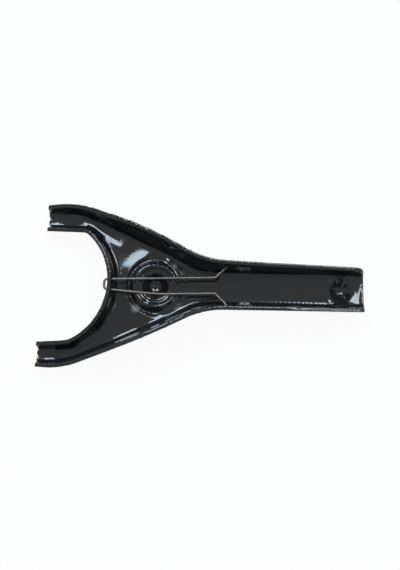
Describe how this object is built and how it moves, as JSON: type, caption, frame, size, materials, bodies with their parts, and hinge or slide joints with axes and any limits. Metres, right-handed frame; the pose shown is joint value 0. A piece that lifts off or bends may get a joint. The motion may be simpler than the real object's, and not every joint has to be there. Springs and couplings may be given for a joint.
{
  "type": "clutch fork",
  "caption": "Clutch release fork pressed from sheet steel: open channel arm with a push-rod seat, round ball socket, wire retaining spring and forked bearing end.",
  "frame": {"origin": "centre of the seated pivot ball", "axes": "+X along the arm to the push-rod seat, +Y to the side of the shorter prong, +Z out of the open side of the tray, which is the side the pivot stud comes from"},
  "size_m": [0.2488, 0.1271, 0.0347],
  "materials": {
    "black_paint": "gloss",
    "spring_wire": "dull drawn wire"
  },
  "bodies": {
    "root": {"fork_lever": "black_paint", "retaining_spring": "spring_wire"}
  },
  "joints": []
}
